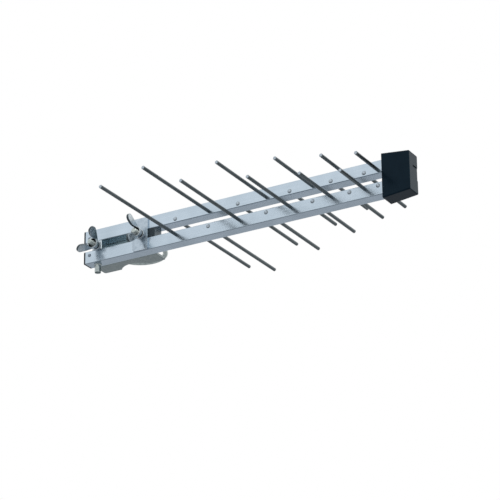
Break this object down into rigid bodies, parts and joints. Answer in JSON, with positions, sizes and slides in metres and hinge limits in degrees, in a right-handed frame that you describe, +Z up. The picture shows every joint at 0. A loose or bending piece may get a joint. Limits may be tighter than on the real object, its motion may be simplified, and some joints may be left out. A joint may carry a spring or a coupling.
{
  "type": "television antenna",
  "caption": "Compact log-periodic television antenna: stacked square booms with tapering rods, a black front cap and a rear U-bolt clamp for an upright mast.",
  "frame": {"origin": "on the axis of the mast that the clamp holds, midway between the two booms", "axes": "+X along the booms towards the front cap, +Z up along the mast, booms on the -Y side of the mast"},
  "size_m": [0.4186, 0.32, 0.0571],
  "materials": {
    "boom_aluminium": "bright drawn",
    "rod_aluminium": "dull drawn",
    "black_plastic": "moulded, slight gloss",
    "plug_plastic": "moulded",
    "rivet_aluminium": "dull",
    "spacer_aluminium": "sawn",
    "spacer_plastic": "moulded",
    "bracket_zinc": "zinc plated",
    "plate_zinc": "zinc plated",
    "washer_zinc": "zinc plated",
    "wing_nut_zinc": "zinc plated, dark in the hollows",
    "u_bolt_zinc": "zinc plated",
    "outlet_nickel": "nickel plated"
  },
  "bodies": {
    "aerial": {"upper_boom": "boom_aluminium", "lower_boom": "boom_aluminium", "rod_01_near": "rod_aluminium", "rod_01_far": "rod_aluminium", "rod_02_near": "rod_aluminium", "rod_02_far": "rod_aluminium", "rod_03_near": "rod_aluminium", "rod_03_far": "rod_aluminium", "rod_04_near": "rod_aluminium", "rod_04_far": "rod_aluminium", "rod_05_near": "rod_aluminium", "rod_05_far": "rod_aluminium", "rod_06_near": "rod_aluminium", "rod_06_far": "rod_aluminium", "rod_07_near": "rod_aluminium", "rod_07_far": "rod_aluminium", "rod_08_near": "rod_aluminium", "rod_08_far": "rod_aluminium", "rod_09_near": "rod_aluminium", "rod_09_far": "rod_aluminium", "rod_10_near": "rod_aluminium", "rod_10_far": "rod_aluminium", "front_cap": "black_plastic", "upper_rear_plug": "plug_plastic", "lower_rear_plug": "plug_plastic", "upper_plug_rivet": "rivet_aluminium", "lower_plug_rivet": "rivet_aluminium", "rear_spacer": "spacer_aluminium", "front_spacer": "spacer_plastic", "mast_bracket": "bracket_zinc", "front_plate": "plate_zinc", "cable_outlet": "outlet_nickel"},
    "clamp_bolt": {"u_bolt": "u_bolt_zinc"},
    "rear_travel": {"rear_washer": "washer_zinc"},
    "front_travel": {"front_washer": "washer_zinc"},
    "rear_nut": {"rear_wing_nut": "wing_nut_zinc"},
    "front_nut": {"front_wing_nut": "wing_nut_zinc"}
  },
  "joints": [
    {"name": "bolt_slide", "type": "slide", "parent": "aerial", "child": "clamp_bolt", "axis": [0, 1, 0], "range_m": [-0.014, 0]},
    {"name": "rear_nut_travel", "type": "slide", "parent": "clamp_bolt", "child": "rear_travel", "axis": [0, 1, 0], "range_m": [-0.01, 0]},
    {"name": "front_nut_travel", "type": "slide", "parent": "clamp_bolt", "child": "front_travel", "axis": [0, 1, 0], "range_m": [-0.008, 0]},
    {"name": "rear_nut_spin", "type": "hinge", "parent": "rear_travel", "child": "rear_nut", "pos_m": [-0.03, -0.0506, 0], "axis": [0, 1, 0], "range_deg": [-3600, 0]},
    {"name": "front_nut_spin", "type": "hinge", "parent": "front_travel", "child": "front_nut", "pos_m": [0.03, -0.0526, 0], "axis": [0, 1, 0], "range_deg": [-2880, 0]}
  ],
  "couplings": [
    {"joint": "rear_nut_spin", "follows": "rear_nut_travel", "rad_per_m": 6283.2},
    {"joint": "front_nut_spin", "follows": "front_nut_travel", "rad_per_m": 6283.2}
  ]
}
